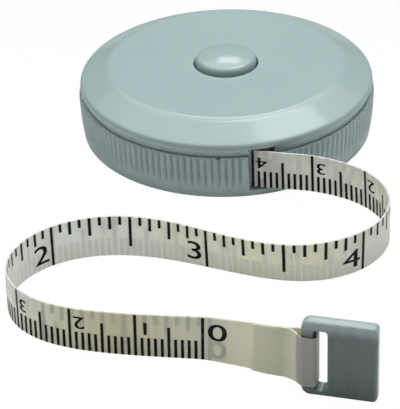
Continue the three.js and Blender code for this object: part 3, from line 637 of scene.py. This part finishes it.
def tape_strip(frames, start=0):
    """Extrudes the tape's section along its way, with a map of distance from the start and height."""
    bm = bmesh.new()
    corners = [(0, -1), (0, 1), (tape_width, 1), (tape_width, -1)]
    section = [bm.verts.new((side, height, 0)) for height, side in corners]
    edges = [bm.edges.new((section[k], section[(k + 1) % 4])) for k in range(4)]
    bm.faces.new(section)
    rings = [section]
    for _ in frames[1:]:
        grown = bmesh.ops.extrude_edge_only(bm, edges=edges)["geom"]
        edges = [e for e in grown if isinstance(e, bmesh.types.BMEdge)]
        loop = [v for v in grown if isinstance(v, bmesh.types.BMVert)]
        order = [next(v for v in loop if (v.co - last.co).length < 1e-9) for last in rings[-1]]
        for vert in order:
            vert.co.z += 1
        rings.append(order)
    bm.faces.new(rings[-1])
    tape_map = bm.loops.layers.uv.new("tape")
    spots = {}
    for ring, (place, left, rise, distance) in zip(rings, frames):
        for vert, (height, side) in zip(ring, corners):
            vert.co = place + rise * height + left * side * tape_thickness / 2
            spots[vert] = (distance - start, height)
    for face in bm.faces:
        for loop in face.loops:
            loop[tape_map].uv = spots[loop.vert]
    bmesh.ops.recalc_face_normals(bm, faces=bm.faces)
    return bm


def coated_cloth(zones):
    """White coated cloth: a fine weave under the coat, yellowed in places, a little light through it, and toned
    along its length by the zones, some of which are painted shade.
    """
    material = bpy.data.materials.new("tape_cloth")
    material.use_nodes = True
    nodes = material.node_tree.nodes
    link = material.node_tree.links.new
    shader = nodes["Principled BSDF"]
    shader.inputs["Roughness"].default_value = 0.45
    shader.inputs["Subsurface Weight"].default_value = 0.85
    shader.inputs["Subsurface Radius"].default_value = (1.0, 0.97, 0.9)
    shader.inputs["Subsurface Scale"].default_value = 0.6 * mm
    place = nodes.new("ShaderNodeUVMap")
    place.uv_map = "tape"
    split = nodes.new("ShaderNodeSeparateXYZ")
    share = nodes.new("ShaderNodeMapRange")
    share.inputs["From Max"].default_value = zones[-1][0]
    tone_and_painted_shade = nodes.new("ShaderNodeValToRGB")
    for element, (distance, colour) in zip(
        [tone_and_painted_shade.color_ramp.elements[0], tone_and_painted_shade.color_ramp.elements[1]], (zones[0], zones[-1])
    ):
        element.position = distance / zones[-1][0]
        element.color = (*colour, 1)
    for distance, colour in zones[1:-1]:
        element = tone_and_painted_shade.color_ramp.elements.new(distance / zones[-1][0])
        element.color = (*colour, 1)
    stain = nodes.new("ShaderNodeTexNoise")
    stain.inputs["Scale"].default_value = 45
    stain.inputs["Detail"].default_value = 3
    yellow = nodes.new("ShaderNodeValToRGB")
    yellow.color_ramp.elements[0].position = 0.35
    yellow.color_ramp.elements[0].color = (0.98, 0.985, 0.98, 1)
    yellow.color_ramp.elements[1].position = 0.68
    yellow.color_ramp.elements[1].color = (0.95, 0.945, 0.84, 1)
    blend = nodes.new("ShaderNodeMix")
    blend.data_type = "RGBA"
    blend.blend_type = "MULTIPLY"
    blend.inputs["Factor"].default_value = 1
    weave = nodes.new("ShaderNodeTexBrick")
    weave.inputs["Scale"].default_value = 1
    weave.inputs["Brick Width"].default_value = 0.35 * mm
    weave.inputs["Row Height"].default_value = 0.18 * mm
    weave.inputs["Mortar Size"].default_value = 0.03 * mm
    weave.inputs["Mortar Smooth"].default_value = 1
    bump = nodes.new("ShaderNodeBump")
    bump.inputs["Strength"].default_value = 0.15
    bump.inputs["Distance"].default_value = 0.02 * mm
    link(place.outputs["UV"], split.inputs["Vector"])
    link(split.outputs["X"], share.inputs["Value"])
    link(share.outputs["Result"], tone_and_painted_shade.inputs["Fac"])
    link(place.outputs["UV"], stain.inputs["Vector"])
    link(stain.outputs["Fac"], yellow.inputs["Fac"])
    link(tone_and_painted_shade.outputs["Color"], blend.inputs["A"])
    link(yellow.outputs["Color"], blend.inputs["B"])
    link(blend.outputs["Result"], shader.inputs["Base Color"])
    link(place.outputs["UV"], weave.inputs["Vector"])
    link(weave.outputs["Fac"], bump.inputs["Height"])
    link(bump.outputs["Normal"], shader.inputs["Normal"])
    return material


tape_frames = way_frames(tape_way)


def distance_at(place):
    """How far along the tape a place in plan is."""
    return min(tape_frames, key=lambda f: (f[0].xy - place).length)[3]


zero_distance = distance_at(Vector(zero_line) * mm)
loop_start = distance_at(loop_spots()[bend_steps])
loop_end = distance_at(loop_spots()[-1])
tape_length = tape_frames[-1][3]
for i, (place, left, rise, distance) in enumerate(tape_frames):
    nearest = min(distance, loop_start + loop_end - distance)
    share = min(1, max(0, (nearest - zero_distance) / (loop_start - zero_distance)))
    tape_frames[i] = place, left, rise * (1 + weld_spread * share), distance
# The tape's tone stretch by stretch along its length: lighter or darker, greyer or yellower, with painted shade
# just inside the mouth and over the tab's bar.
tape_cloth = coated_cloth([
    (0, (0.86, 0.87, 0.84)),
    # Painted shade: the tape is darkened just inside the mouth, where the mouth shades it; this tone comes out with
    # the tape when it is pulled.
    (zero_distance - 146 * mm, (0.8, 0.8, 0.78)),
    (zero_distance - 141 * mm, (0.54, 0.55, 0.53)),
    (zero_distance - 138.5 * mm, (0.64, 0.65, 0.64)),
    (zero_distance - 132 * mm, (0.78, 0.79, 0.76)),
    (zero_distance - 105 * mm, (0.77, 0.77, 0.72)),
    (zero_distance - 85 * mm, (0.78, 0.79, 0.66)),
    (zero_distance - 55 * mm, (0.88, 0.92, 0.90)),
    (zero_distance - 33 * mm, (0.82, 0.86, 0.82)),
    (zero_distance - 12 * mm, (0.62, 0.61, 0.46)),
    (zero_distance + 2 * mm, (0.69, 0.70, 0.62)),
    (loop_start - 1 * mm, (0.86, 0.85, 0.69)),
    # Painted shade: the loop over the tab's bar is grey, where the dark bar behind it shows through the cloth.
    (loop_start, (0.385, 0.405, 0.38)),
    (loop_end, (0.385, 0.405, 0.38)),
    (loop_end + 0.3 * mm, (0.78, 0.775, 0.64)),
    (tape_length, (0.77, 0.765, 0.62)),
])
free_tape = add_piece("printed_tape", tape_strip(tape_frames), tape_cloth, "tape", "tape_cloth", "free_tape")

# Wound tape: the rest of the same tape wound on the drum.

drum_radius = 12.0 * mm
wound_turns = 13
turn_steps = 72
drum_gap = 0.3 * mm
end_angle = leave_angle() - 0.007
wound_start = drum_radius + drum_gap + tape_thickness / 2
wound_way = []
for i in range(wound_turns * turn_steps + 1):
    share = i / (wound_turns * turn_steps)
    angle = end_angle - (1 - share) * wound_turns * 2 * math.pi
    radius = wound_start + (wound_radius - wound_start) * share
    wound_way.append((Vector((radius * math.cos(angle), radius * math.sin(angle), tape_in_case)), 0))
wound_frames = way_frames(wound_way)
wound_strip = tape_strip(wound_frames, wound_frames[-1][3])
add_piece("wound_roll", wound_strip, tape_cloth, "reel", "tape_cloth", "wound_tape")

# Print: black ink on both faces, centimetres and millimetres up from the lower edge of the outer face with
# their figures upside down, inches and sixteenths down from the upper edge of the inner face.

line_width = 0.45 * mm
inch_line_width = line_width * 1.05
ink_lift = 0.015 * mm
print_margin = 0.02 * mm
print_bottom, print_top = print_margin, tape_width - print_margin
printed_length = zero_distance - tape_frames[2][3]
inch = 25.4 * mm
inch_zero = -1.05 * mm
outer_face, inner_face = -1, 1

# Length of a line by how many divisions apart lines of its kind are
metric_lengths = {10: print_top, 5: 5.1 * mm, 1: 3.1 * mm}
inch_lengths = {16: print_top, 8: 5.3 * mm, 4: 3.2 * mm, 2: 2.3 * mm, 1: 1.5 * mm}

# Size, half of the added stroke and stretch of the figures
metric_figure = 3.0 * mm, 0.07 * mm, 1.25
inch_figure = 4.7 * mm, 0.05 * mm, 1.35
zero_figure = 3.8 * mm, 0.06 * mm, 1.65
zero_reading = -2.2 * mm
metric_figure_before, metric_figure_height = 1.5 * mm, tape_width - 2.3 * mm
inch_figure_before, inch_figure_height = 2.1 * mm, 2.7 * mm
inch_zero_height = 1.9 * mm


def on_tape(reading, height, face, lift):
    """The place on a face of the tape at a reading from the printed zero and a height up the tape."""
    distance = zero_distance - reading
    k = next((i for i, f in enumerate(tape_frames) if f[3] > distance), len(tape_frames) - 1)
    (here, left, rise, start), (there, left_next, rise_next, end) = tape_frames[k - 1], tape_frames[k]
    t = (distance - start) / (end - start)
    side = left.lerp(left_next, t)
    return here.lerp(there, t) + rise.lerp(rise_next, t) * height + side * face * (tape_thickness / 2 + lift)


def print_mark(bm, reading, bottom, top, face, width=line_width, lift=ink_lift):
    """One upright line across a face of the tape."""
    bm.faces.new([
        bm.verts.new(on_tape(reading + along * width / 2, height, face, lift))
        for along, height in ((-1, bottom), (1, bottom), (1, top), (-1, top))
    ])


def print_figure(bm, text, size, bold, stretch, turn, reading, height, face, lift=ink_lift):
    """A figure set flat, then laid on a face of the tape with its middle at a reading and a height.

    It is laid twice, a little to either side, for a bolder stroke.
    """
    curve = bpy.data.curves.new("figure", "FONT")
    curve.body = text
    curve.size = size
    curve.align_x = "CENTER"
    curve.align_y = "CENTER"
    letter = bpy.data.objects.new("figure", curve)
    bpy.context.scene.collection.objects.link(letter)
    mesh = bpy.data.meshes.new_from_object(letter.evaluated_get(bpy.context.evaluated_depsgraph_get()))
    bpy.data.objects.remove(letter)
    flat = bmesh.new()
    flat.from_mesh(mesh)
    bpy.data.meshes.remove(mesh)
    xs = [v.co.x for v in flat.verts]
    ys = [v.co.y for v in flat.verts]
    middle = Vector(((min(xs) + max(xs)) / 2, (min(ys) + max(ys)) / 2, 0))
    for slice_at in range(-8, 9):
        bmesh.ops.bisect_plane(
            flat, geom=flat.verts[:] + flat.edges[:] + flat.faces[:],
            plane_co=middle + Vector((slice_at * 0.2 * mm, 0, 0)), plane_no=(1, 0, 0),
        )
    for shift in (-bold, bold):
        grown = {}
        for vert in flat.verts:
            x, y = (vert.co.x - middle.x) * stretch * turn + shift, (vert.co.y - middle.y) * turn
            grown[vert] = bm.verts.new(on_tape(reading + x * face, height + y, face, lift))
        for polygon in flat.faces:
            bm.faces.new([grown[vert] for vert in polygon.verts])
    flat.free()


def printer_ink():
    """Printer's black: dense, a little worn."""
    material = bpy.data.materials.new("print_ink")
    material.use_nodes = True
    nodes = material.node_tree.nodes
    link = material.node_tree.links.new
    shader = nodes["Principled BSDF"]
    shader.inputs["Roughness"].default_value = 0.5
    shader.inputs["Specular IOR Level"].default_value = 0.12
    place = nodes.new("ShaderNodeTexCoord")
    wear = nodes.new("ShaderNodeTexNoise")
    wear.inputs["Scale"].default_value = 900
    wear.inputs["Detail"].default_value = 3
    tone = nodes.new("ShaderNodeValToRGB")
    tone.color_ramp.elements[0].position = 0.55
    tone.color_ramp.elements[0].color = (0.005, 0.005, 0.005, 1)
    tone.color_ramp.elements[1].position = 0.85
    tone.color_ramp.elements[1].color = (0.05, 0.05, 0.048, 1)
    link(place.outputs["Object"], wear.inputs["Vector"])
    link(wear.outputs["Fac"], tone.inputs["Fac"])
    link(tone.outputs["Color"], shader.inputs["Base Color"])
    return material


def scale_lines(zero, division, lengths):
    """Reading and length of each line of a scale, up to the roll."""
    for i in range(int((printed_length - zero) / division) + 1):
        yield zero + i * division, next(lengths[apart] for apart in lengths if i % apart == 0)


print_ink = printer_ink()
metric = bmesh.new()
for reading, length in scale_lines(0, mm, metric_lengths):
    print_mark(metric, reading, print_bottom, length, outer_face)
for centimetre in range(1, int(printed_length / (10 * mm)) + 1):
    print_figure(
        metric, str(centimetre % 10 or centimetre), *metric_figure, -1,
        centimetre * 10 * mm - metric_figure_before, metric_figure_height, outer_face,
    )
print_figure(metric, "0", *zero_figure, 1, zero_reading, metric_figure_height, outer_face)
metric_print = add_piece("centimetre_print", metric, print_ink, "tape", "tape_cloth")

imperial = bmesh.new()
for reading, length in scale_lines(inch_zero, inch / 16, inch_lengths):
    print_mark(imperial, reading, tape_width - length, print_top, inner_face, inch_line_width)
for figure in range(1, int((printed_length - inch_zero) / inch) + 1):
    print_figure(
        imperial, str(figure), *inch_figure, 1,
        inch_zero + figure * inch - inch_figure_before, inch_figure_height, inner_face,
    )
print_figure(imperial, "0", *zero_figure, 1, zero_reading, inch_zero_height, inner_face)
imperial_print = add_piece("inch_print", imperial, print_ink, "tape", "tape_cloth")

# Show-through: the marks of each face can be made out faintly through the cloth on the other one, in a
# darker tone where the end of the tape has yellowed.

ghost_lift = 0.007 * mm
ghost_width = line_width * 1.3
ghost_bold = 0.08 * mm
aged_length = 25 * mm
ghost, aged_ghost = bmesh.new(), bmesh.new()


def ghost_at(reading):
    """The marks of the yellowed end, or those of the rest."""
    return aged_ghost if reading < aged_length else ghost


for reading, length in scale_lines(inch_zero, inch / 16, inch_lengths):
    bottom = tape_width - length
    print_mark(ghost_at(reading), reading, bottom, print_top, outer_face, ghost_width, ghost_lift)
for reading, length in scale_lines(0, mm, metric_lengths):
    print_mark(ghost_at(reading), reading, print_bottom, length, inner_face, ghost_width, ghost_lift)
zero_size, _, zero_stretch = zero_figure
print_figure(
    aged_ghost, "0", zero_size, ghost_bold, zero_stretch, 1,
    zero_reading, inch_zero_height, outer_face, ghost_lift,
)
show_through = moulded_plastic("show_through", (0.80, 0.80, 0.735), (0.765, 0.77, 0.70), 0.5, 2 * mm)
aged_show_through = moulded_plastic("aged_show_through", (0.57, 0.57, 0.475), (0.54, 0.54, 0.445), 0.5, 2 * mm)
ghost_print = add_piece("print_show_through", ghost, show_through, "tape", "tape_cloth")
aged_print = add_piece("aged_show_through", aged_ghost, aged_show_through, "tape", "tape_cloth")

# Pull tab: a thick rounded plate of the case's plastic, with a slot that leaves a bar for the tape's loop
# and three shallow upright grip flutes on each face. Its colour is painted darker than the case's as painted
# shade, and paler towards the top edge as painted light.

tab_low, tab_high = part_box("end_tab")
tab_width = 11.13 * mm
tab_height = tab_high.z - tab_low.z
tab_rounds = [1.3 * mm, 0.7 * mm, 0.7 * mm, 1.3 * mm]
tab_edge = 0.65 * mm
slot_width = 2.15 * mm
slot_bottom, slot_top = 1.0 * mm, 11.35 * mm
slot_rounds = [0.9 * mm, 0.9 * mm, 0.5 * mm, 0.5 * mm]
grip_count = 3
grip_radius = 2.0 * mm
grip_depth = 0.24 * mm
grip_pitch = 2.25 * mm
grip_start = 5.3 * mm
grip_overrun = 0.5 * mm
# Painted light: how far below the top edge the tab's colour starts and stops turning paler.
painted_light_from, painted_light_to = 2.4 * mm, 0.2 * mm


def rounded_plate(left, bottom, right, top, radii, thickness, segments):
    """An upright plate in the tab's own directions, its corners rounded from the lower left one round."""
    bm = bmesh.new()
    bmesh.ops.create_cube(bm, size=1, matrix=(
        Matrix.Translation(((left + right) / 2, 0, (bottom + top) / 2))
        @ Matrix.Diagonal((right - left, thickness, top - bottom, 1))
    ))
    for corner, radius in zip(((left, bottom), (right, bottom), (right, top), (left, top)), radii):
        edges = [
            e for e in bm.edges
            if all((v.co - Vector((corner[0], v.co.y, corner[1]))).length < 1e-7 for v in e.verts)
        ]
        bmesh.ops.bevel(
            bm, geom=edges, offset=radius, offset_type="OFFSET", affect="EDGES",
            segments=segments, profile=0.5, material=-1,
        )
    return bm


def round_faces(bm, width, segments, thickness):
    """Rounds the rims of a plate's two faces."""
    on_face = [e for e in bm.edges if all(abs(abs(v.co.y) - thickness / 2) < 1e-7 for v in e.verts)]
    rims = [e for e in on_face if e.calc_face_angle(0) > 1]
    bmesh.ops.bevel(
        bm, geom=rims, offset=width, offset_type="OFFSET", affect="EDGES",
        segments=segments, profile=0.5, material=-1,
    )


def paler_above(material, low, high, lit_tone):
    """Paints light into a plastic's colour: paler towards a top edge, standing for light coming through it there.
    """
    nodes = material.node_tree.nodes
    link = material.node_tree.links.new
    colour = nodes["Principled BSDF"].inputs["Base Color"]
    place = nodes.new("ShaderNodeTexCoord")
    axes = nodes.new("ShaderNodeSeparateXYZ")
    share = nodes.new("ShaderNodeMapRange")
    share.interpolation_type = "SMOOTHSTEP"
    share.inputs["From Min"].default_value = low
    share.inputs["From Max"].default_value = high
    blend = nodes.new("ShaderNodeMix")
    blend.data_type = "RGBA"
    blend.inputs["B"].default_value = (*lit_tone, 1)
    link(place.outputs["Object"], axes.inputs["Vector"])
    link(axes.outputs["Z"], share.inputs["Value"])
    link(share.outputs["Result"], blend.inputs["Factor"])
    link(colour.links[0].from_socket, blend.inputs["A"])
    link(blend.outputs["Result"], colour)


tab_shape = rounded_plate(0, 0, tab_width, tab_height, tab_rounds, tab_thickness, 7)
round_faces(tab_shape, tab_edge, 5, tab_thickness)
slot_cut = rounded_plate(
    tab_bar, slot_bottom, tab_bar + slot_width, slot_top, slot_rounds, tab_thickness * 2, 6,
)
tab_shape = cut(tab_shape, slot_cut)
grip_cuts = bmesh.new()
for i in range(grip_count):
    for face in (-1, 1):
        out = tab_thickness / 2 + grip_radius - grip_depth
        middle = (grip_start + i * grip_pitch, face * out, tab_height / 2)
        bmesh.ops.create_cone(
            grip_cuts, cap_ends=True, segments=96, radius1=grip_radius, radius2=grip_radius,
            depth=tab_height + 2 * grip_overrun, matrix=Matrix.Translation(middle),
        )
tab_shape = cut(tab_shape, grip_cuts)
bmesh.ops.transform(
    tab_shape, verts=tab_shape.verts,
    matrix=Matrix.Translation((*tab_origin, tab_low.z)) @ Matrix.Rotation(tab_turn, 4, "Z"),
)
# Painted shade: the tab's plastic is a darker copy of the case's, so that its faces come out shaded; its top edge
# is then painted paler as painted light.
tab_plastic = moulded_plastic("tab_plastic", (0.132, 0.184, 0.176), (0.124, 0.174, 0.166), 0.22, 6 * mm)
paler_above(tab_plastic, tab_high.z - painted_light_from, tab_high.z - painted_light_to, (0.36, 0.46, 0.45))
pull_tab = add_piece("pull_tab", tab_shape, tab_plastic, "tab", "tab_plastic", "end_tab")

# Table, light and camera: a plain white table that throws less light back behind the case, soft light from
# above and a little to the right, and a camera at the photograph's place.

image_height = 409
mirrored_share = 0.04
dim_from, dim_to = -20 * mm, 40 * mm
table_near_tone, table_far_tone = 0.88, 0.3
focal_pixels = 2268
camera_place = Vector((1.8, -344.5, 193.4)) * mm
camera_pitch, camera_yaw, camera_roll = (math.radians(a) for a in (31.32, -1.16, -1.76))

camera = bpy.data.cameras.new("camera")
camera.sensor_fit = "VERTICAL"
camera.sensor_height = 36
camera.lens = focal_pixels / image_height * camera.sensor_height
viewpoint = bpy.data.objects.new("camera", camera)
bpy.context.scene.collection.objects.link(viewpoint)
forward = Vector((
    math.sin(camera_yaw) * math.cos(camera_pitch),
    math.cos(camera_yaw) * math.cos(camera_pitch),
    -math.sin(camera_pitch),
))
right = Vector((math.cos(camera_yaw), -math.sin(camera_yaw), 0))
up = right.cross(forward)
turned_right = right * math.cos(camera_roll) + up * math.sin(camera_roll)
turned_up = up * math.cos(camera_roll) - right * math.sin(camera_roll)
axes = Matrix((turned_right, turned_up, -forward)).transposed()
viewpoint.matrix_world = Matrix.Translation(camera_place) @ axes.to_4x4()
bpy.context.scene.camera = viewpoint


def seen_white(nodes, link):
    """One for what the camera sees straight, mirrored or through glass."""
    path = nodes.new("ShaderNodeLightPath")
    seen = path.outputs["Is Camera Ray"]
    for ray, share in (("Is Glossy Ray", mirrored_share), ("Is Transmission Ray", 1)):
        part = nodes.new("ShaderNodeMath")
        part.operation = "MULTIPLY"
        part.inputs[1].default_value = share
        larger = nodes.new("ShaderNodeMath")
        larger.operation = "MAXIMUM"
        link(path.outputs[ray], part.inputs[0])
        link(part.outputs["Value"], larger.inputs[0])
        link(seen, larger.inputs[1])
        seen = larger.outputs["Value"]
    return seen


table_shape = bmesh.new()
bmesh.ops.create_grid(table_shape, x_segments=1, y_segments=1, size=3)
table_mesh = bpy.data.meshes.new("table")
table_shape.to_mesh(table_mesh)
table_shape.free()
table = bpy.data.objects.new("table", table_mesh)
bpy.context.scene.collection.objects.link(table)
table_white = bpy.data.materials.new("table_white")
table_white.use_nodes = True
table_nodes = table_white.node_tree.nodes
table_link = table_white.node_tree.links.new
table_place = table_nodes.new("ShaderNodeTexCoord")
table_axes = table_nodes.new("ShaderNodeSeparateXYZ")
table_far = table_nodes.new("ShaderNodeMapRange")
table_far.inputs["From Min"].default_value = dim_from
table_far.inputs["From Max"].default_value = dim_to
table_tone = table_nodes.new("ShaderNodeValToRGB")
table_tone.color_ramp.elements[0].color = (*[table_near_tone] * 3, 1)
table_tone.color_ramp.elements[1].color = (*[table_far_tone] * 3, 1)
table_link(table_place.outputs["Object"], table_axes.inputs["Vector"])
table_link(table_axes.outputs["Y"], table_far.inputs["Value"])
table_link(table_far.outputs["Result"], table_tone.inputs["Fac"])
table_link(table_tone.outputs["Color"], table_nodes["Principled BSDF"].inputs["Base Color"])
table_nodes["Principled BSDF"].inputs["Roughness"].default_value = 0.9
table_nodes["Principled BSDF"].inputs["Specular IOR Level"].default_value = 0.1
table_glow = table_nodes.new("ShaderNodeEmission")
table_glow.inputs["Strength"].default_value = 1.01
table_mix = table_nodes.new("ShaderNodeMixShader")
table_share = table_nodes.new("ShaderNodeMath")
table_share.operation = "MULTIPLY"
table_share.inputs[1].default_value = 0.97
table_link(seen_white(table_nodes, table_link), table_share.inputs[0])
table_link(table_share.outputs["Value"], table_mix.inputs["Fac"])
table_link(table_nodes["Principled BSDF"].outputs["BSDF"], table_mix.inputs[1])
table_link(table_glow.outputs["Emission"], table_mix.inputs[2])
table_link(table_mix.outputs["Shader"], table_nodes["Material Output"].inputs["Surface"])
table_mesh.materials.append(table_white)

world = bpy.data.worlds.new("studio")
bpy.context.scene.world = world
world.use_nodes = True
world_nodes = world.node_tree.nodes
world_link = world.node_tree.links.new
room = world_nodes["Background"]
room.inputs["Color"].default_value = (0.96, 0.98, 1.0, 1)
room.inputs["Strength"].default_value = 0.05
backdrop = world_nodes.new("ShaderNodeBackground")
backdrop.inputs["Color"].default_value = (1, 1, 1, 1)
backdrop.inputs["Strength"].default_value = 1
world_mix = world_nodes.new("ShaderNodeMixShader")
world_link(seen_white(world_nodes, world_link), world_mix.inputs["Fac"])
world_link(room.outputs["Background"], world_mix.inputs[1])
world_link(backdrop.outputs["Background"], world_mix.inputs[2])
world_link(world_mix.outputs["Shader"], world_nodes["World Output"].inputs["Surface"])


def soft_box(name, place, aim, width, height, power, spread=180):
    """A soft box that shines at a point, less to the sides where its spread is narrow."""
    lamp = bpy.data.lights.new(name, "AREA")
    lamp.shape = "RECTANGLE"
    lamp.size = width
    lamp.size_y = height
    lamp.energy = power
    lamp.spread = math.radians(spread)
    holder = bpy.data.objects.new(name, lamp)
    bpy.context.scene.collection.objects.link(holder)
    holder.location = place
    holder.rotation_mode = "QUATERNION"
    holder.rotation_quaternion = (Vector(aim) - Vector(place)).to_track_quat("-Z", "Y")


soft_box("overhead", (0, 0.15, 0.6), (0, 0.05, 0), 1.3, 1.0, 4.15, 110)
soft_box("right", (0.13, 0.175, 0.5), (0, 0, 0), 0.26, 0.24, 0.65)
soft_box("window", (0.017, 0.49, 0.426), (0, 0, 0), 0.14, 0.12, 0.185)

bpy.context.scene.view_settings.view_transform = "Standard"
